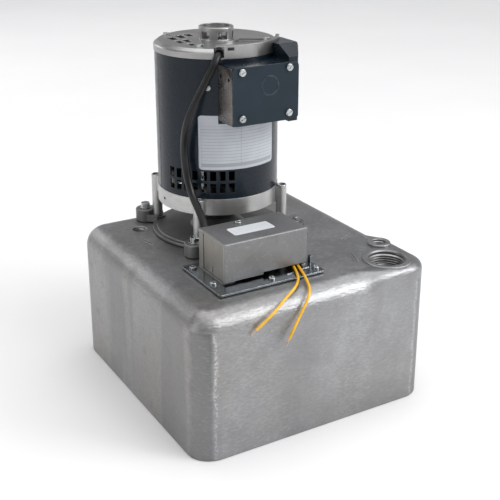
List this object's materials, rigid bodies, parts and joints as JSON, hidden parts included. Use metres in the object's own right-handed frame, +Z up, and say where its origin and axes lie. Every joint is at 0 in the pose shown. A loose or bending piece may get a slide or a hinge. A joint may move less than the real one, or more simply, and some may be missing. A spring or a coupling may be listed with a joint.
{
  "type": "condensate pump",
  "caption": "Condensate pump: cast tank with threaded ports, vertical electric motor on a post bracket driving a submerged impeller, float switch box with free signal leads.",
  "frame": {"origin": "centre of the tank footprint, on the floor it stands on", "axes": "+Z up along the motor shaft; +X and +Y along the tank's short and long plan sides, with the switch box towards -Y"},
  "size_m": [0.297, 0.3211, 0.41],
  "materials": {
    "bare_copper": "stripped copper strands",
    "black_plastic": "moulded nylon",
    "black_rubber": "moulded rubber",
    "board_plastic": "phenolic board",
    "bronze": "sintered bronze",
    "bush_plastic": "acetal",
    "cable_black": "PVC jacket",
    "cast_base": "cast aluminium",
    "cast_bell": "die-cast aluminium",
    "cast_bracket": "cast and turned aluminium",
    "cast_tank": "satin sand-cast aluminium, lightly peened",
    "copper_pipe": "drawn copper tube",
    "core_steel": "laminated electrical steel",
    "cover_enamel": "semi-gloss blue-grey enamel",
    "cover_steel": "bright galvanised sheet",
    "float_plastic": "blow-moulded polypropylene",
    "galvanised": "galvanised sheet",
    "gasket_rubber": "nitrile sheet",
    "impeller_plastic": "moulded nylon",
    "label_foil": "matt printed foil",
    "label_paper": "printed label",
    "lead_yellow": "PVC insulation",
    "motor_enamel": "gloss dark blue-grey enamel",
    "plate_aluminium": "rolled aluminium plate",
    "pump_plastic": "glass-filled nylon",
    "shaft_steel": "ground steel",
    "winding_copper": "varnished copper wire",
    "zinc": "bright zinc plate"
  },
  "bodies": {
    "pump_frame": {"alarm_lead_a": "lead_yellow", "alarm_lead_a_tip": "bare_copper", "alarm_lead_b": "lead_yellow", "alarm_lead_b_tip": "bare_copper", "bell_grommet": "black_rubber", "bottom_gasket": "gasket_rubber", "bottom_plate": "plate_aluminium", "bottom_screws": "zinc", "capacitor": "black_plastic", "casing_screws": "zinc", "conduit_box": "motor_enamel", "conduit_cover": "cover_enamel", "conduit_cover_screws": "zinc", "discharge_pipe": "copper_pipe", "ground_screw": "zinc", "lever_pivot_pin": "shaft_steel", "lever_pivot_stand": "galvanised", "lower_sleeve_bush": "bronze", "motor_bearings": "shaft_steel", "motor_bracket": "cast_bracket", "motor_cable": "cable_black", "motor_shell": "motor_enamel", "nameplate": "label_foil", "post_screws": "zinc", "pump_base": "cast_base", "pump_base_gasket": "gasket_rubber", "pump_base_screws": "zinc", "pump_base_washers": "zinc", "pump_column": "plate_aluminium", "rod_guide_bush": "bush_plastic", "shaft_seal_bush": "black_plastic", "snap_switches": "black_plastic", "stator_core": "core_steel", "stator_windings": "winding_copper", "suction_cover": "pump_plastic", "suction_strainer": "pump_plastic", "switch_box_grommet": "black_rubber", "switch_bracket": "galvanised", "switch_cover": "cover_steel", "switch_cover_label": "label_paper", "switch_cover_screw": "zinc", "switch_plate": "galvanised", "switch_plate_gasket": "gasket_rubber", "switch_plate_screws": "zinc", "tank_shell": "cast_tank", "terminal_board": "board_plastic", "through_bolts": "zinc", "upper_end_bell": "cast_bell", "volute_casing": "pump_plastic"},
    "rotor": {"motor_shaft": "shaft_steel", "rotor_core": "core_steel", "cooling_fan": "black_plastic", "shaft_slinger": "black_rubber", "impeller": "impeller_plastic", "impeller_nut": "zinc"},
    "float": {"float_ball": "float_plastic", "float_rod": "shaft_steel", "rod_collars": "bush_plastic"},
    "lever": {"switch_lever": "galvanised"}
  },
  "joints": [
    {"name": "shaft_spin", "type": "hinge", "parent": "pump_frame", "child": "rotor", "pos_m": [-0.0057, 0.06, 0.2], "axis": [0, 0, 1], "continuous": true},
    {"name": "float_lift", "type": "slide", "parent": "pump_frame", "child": "float", "axis": [0, 0, 1], "range_m": [0, 0.028]},
    {"name": "lever_tilt", "type": "hinge", "parent": "pump_frame", "child": "lever", "pos_m": [-0.075, -0.075, 0.178], "axis": [0, -1, 0], "range_deg": [0, 42]}
  ],
  "couplings": [
    {"joint": "lever_tilt", "follows": "float_lift", "rad_per_m": 24.752}
  ]
}
